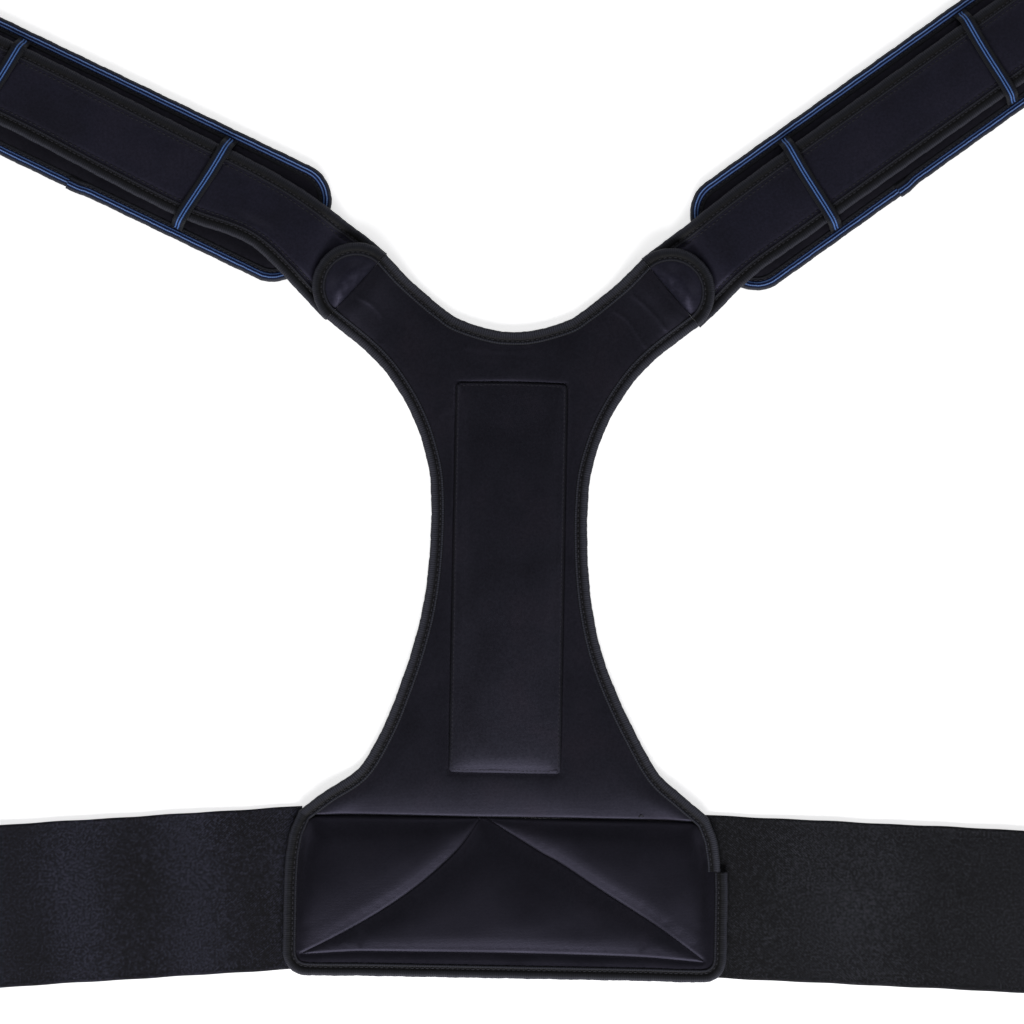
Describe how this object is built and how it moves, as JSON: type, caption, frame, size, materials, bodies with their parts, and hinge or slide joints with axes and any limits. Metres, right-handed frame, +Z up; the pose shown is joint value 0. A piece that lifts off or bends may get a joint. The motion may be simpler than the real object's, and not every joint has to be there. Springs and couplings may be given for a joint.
{
  "type": "posture corrector",
  "caption": "Upper-back posture brace lying flat: padded back panel with spine pocket and quilted lumbar pad, shoulder straps with slide-on pads, elastic waist belt.",
  "frame": {"origin": "on the surface the brace lies on, under the centre of the spine pocket, at the back panel's flat underside", "axes": "+Z up out of the outer side, +Y towards the neck, +X towards the right strap as seen from above"},
  "size_m": [1.0055, 0.7329, 0.0108],
  "materials": {
    "neoprene": "matte knit-faced neoprene",
    "edge_tape": "ribbed binding tape",
    "striped_tape": "black tape with two woven blue lines",
    "elastic": "woven elastic",
    "hook_tape": "hook tape"
  },
  "bodies": {
    "root": {"back_panel": "neoprene", "spine_pocket": "neoprene", "lumbar_pad": "neoprene", "strap_tab_left": "neoprene", "strap_tab_right": "neoprene", "neckline_binding": "edge_tape", "side_binding_left": "edge_tape", "side_binding_right": "edge_tape", "tab_binding_left": "edge_tape", "tab_binding_right": "edge_tape", "lumbar_binding": "edge_tape", "shoulder_strap_left": "neoprene", "shoulder_strap_right": "neoprene", "strap_binding_left": "edge_tape", "strap_binding_right": "edge_tape", "shoulder_pad_left": "neoprene", "shoulder_pad_right": "neoprene", "pad_binding_left": "striped_tape", "pad_binding_right": "striped_tape", "pad_loop_left_inner": "striped_tape", "pad_loop_left_outer": "striped_tape", "pad_loop_right_inner": "striped_tape", "pad_loop_right_outer": "striped_tape", "waist_belt_left": "elastic", "waist_belt_right": "elastic", "belt_end_left": "hook_tape", "belt_end_right": "hook_tape", "strap_end_left": "hook_tape", "strap_end_right": "hook_tape"}
  },
  "joints": []
}
